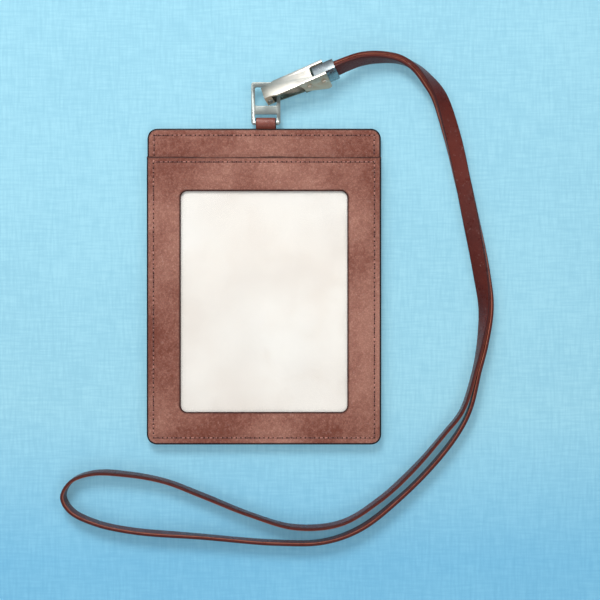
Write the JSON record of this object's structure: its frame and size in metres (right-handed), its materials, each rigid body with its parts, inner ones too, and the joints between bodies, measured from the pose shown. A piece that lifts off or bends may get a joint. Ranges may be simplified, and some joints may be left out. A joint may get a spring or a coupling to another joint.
{
  "type": "lanyard badge holder",
  "caption": "Stitched leather badge holder with a clear window, hung by a metal double loop from a sprung clip on a flat leather neck strap.",
  "frame": {"origin": "centre of the holder's flat back face, with the whole part lying on its back on a table", "axes": "+X across the holder, +Y up the holder towards the loop and the clip, +Z out of the window"},
  "size_m": [0.1938, 0.2219, 0.0143],
  "materials": {
    "holder_leather": "medium brown pebbled leather with a soft sheen and dark painted edges",
    "tab_leather": "smooth reddish brown leather, dark on its edges",
    "strap_leather": "smooth dark reddish brown leather with burnished dark edges",
    "fibre_board": "plain grey-brown fibre board",
    "card": "blank cream-white card",
    "clear_film": "clear glossy film",
    "nickel": "bright satin nickel plate",
    "grey_metal": "grey satin plated metal",
    "spring_steel": "bright spring wire"
  },
  "bodies": {
    "lanyard": {"neck_strap": "strap_leather", "crimp_sleeve": "grey_metal"},
    "clip": {"clip_body": "nickel", "lever_pin": "nickel", "lever_spring": "spring_steel", "nose_rivet": "grey_metal", "crimp_pin": "nickel"},
    "lever": {"clip_lever": "nickel"},
    "loop": {"double_loop": "grey_metal"},
    "holder": {"back_panel": "holder_leather", "stiffener_board": "fibre_board", "pocket_panel": "holder_leather", "window_film": "clear_film", "window_panel": "holder_leather", "strap_tab": "tab_leather"},
    "card": {"insert_card": "card"}
  },
  "joints": [
    {"name": "clip_pivot", "type": "hinge", "parent": "lanyard", "child": "clip", "pos_m": [0.02608, 0.09463, 0.0077], "axis": [-0.2665, 0.8533, -0.4481], "range_deg": [-4, 4]},
    {"name": "lever_squeeze", "type": "hinge", "parent": "clip", "child": "lever", "pos_m": [0.01962, 0.09241, 0.00732], "axis": [0.2665, -0.8533, 0.4481], "range_deg": [0, 12], "stiffness_Nm_per_rad": 0.02, "springref_deg": -28.65, "deforming": ["lever_spring"]},
    {"name": "loop_swing", "type": "hinge", "parent": "clip", "child": "loop", "pos_m": [0.00653, 0.0737, 0.0037], "axis": [0, 0.9986, 0.0523], "range_deg": [-20, 1]},
    {"name": "holder_swing", "type": "hinge", "parent": "loop", "child": "holder", "pos_m": [0.0008, 0.0737, 0.0037], "axis": [1, 0, 0], "range_deg": [-75, 75]},
    {"name": "card_slide", "type": "slide", "parent": "holder", "child": "card", "axis": [0, 1, 0], "range_m": [0, 0.012]}
  ]
}
